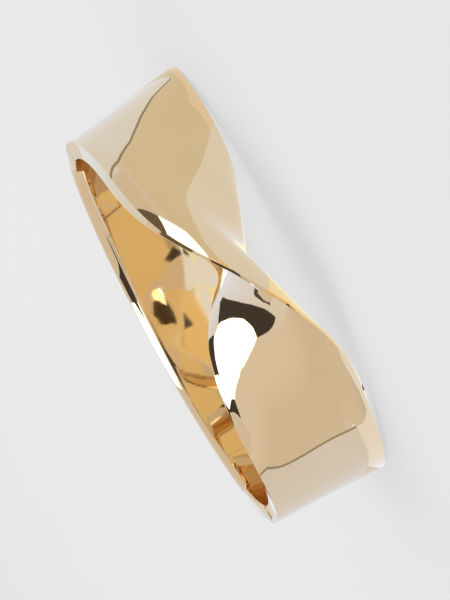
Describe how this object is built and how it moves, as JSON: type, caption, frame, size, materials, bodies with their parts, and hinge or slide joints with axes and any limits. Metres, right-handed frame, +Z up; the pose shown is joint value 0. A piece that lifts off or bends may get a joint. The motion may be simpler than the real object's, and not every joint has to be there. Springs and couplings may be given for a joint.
{
  "type": "hinged bangle",
  "caption": "Oval hinged bangle: a wide polished band with a plain back and a front that makes one half turn, with a pinned hinge at one end and a tongue clasp at the other.",
  "frame": {"origin": "on the floor plane, under the middle of the whole bangle", "axes": "+Z up along the wrist's axis; +X to the clasp, -X to the hinge; -Y to the twisted front, +Y to the plain back"},
  "size_m": [0.069, 0.0645, 0.02],
  "materials": {
    "polished_band": "mirror polished, gold plated",
    "pin": "polished, gold plated",
    "tongue": "satin, gold plated"
  },
  "bodies": {
    "front": {"front_half": "polished_band", "hinge_pin": "pin"},
    "back": {"back_half": "polished_band", "clasp_tongue": "tongue"}
  },
  "joints": [
    {"name": "hinge", "type": "hinge", "parent": "front", "child": "back", "pos_m": [-0.03305, 0.00544, 0.00925], "axis": [0, 0, 1], "range_deg": [0, 65]}
  ]
}
